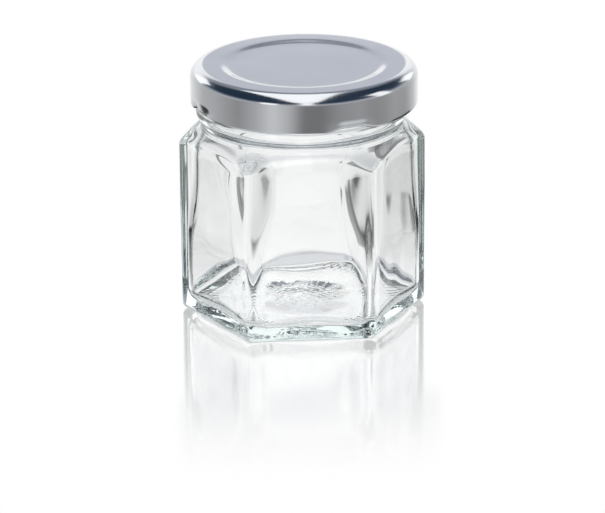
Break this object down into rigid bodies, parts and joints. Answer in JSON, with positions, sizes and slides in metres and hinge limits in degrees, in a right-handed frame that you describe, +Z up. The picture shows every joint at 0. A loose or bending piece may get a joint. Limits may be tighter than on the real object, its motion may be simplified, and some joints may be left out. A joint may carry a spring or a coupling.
{
  "type": "hexagonal glass jar with lid",
  "caption": "Small six-sided clear glass jar with a round neck and carrying bead, empty and closed by a round pressed metal twist-off lid with a recessed middle panel.",
  "frame": {"origin": "middle of the base, on the surface that the jar stands on", "axes": "+Z up through the mouth and the lid, X through two opposite upright corners, -Y out of the flat face that is seen from the front"},
  "size_m": [0.0496, 0.0456, 0.0516],
  "materials": {
    "clear_glass": "clear flint glass, polished by the mould, with a faint green-grey tint in its thick corners and heel",
    "silver_lid": "bright silver lacquered tinplate, glossy on its rounded shoulder and satin on its top"
  },
  "bodies": {
    "root": {"glass_jar": "clear_glass", "lid": "silver_lid"}
  },
  "joints": []
}
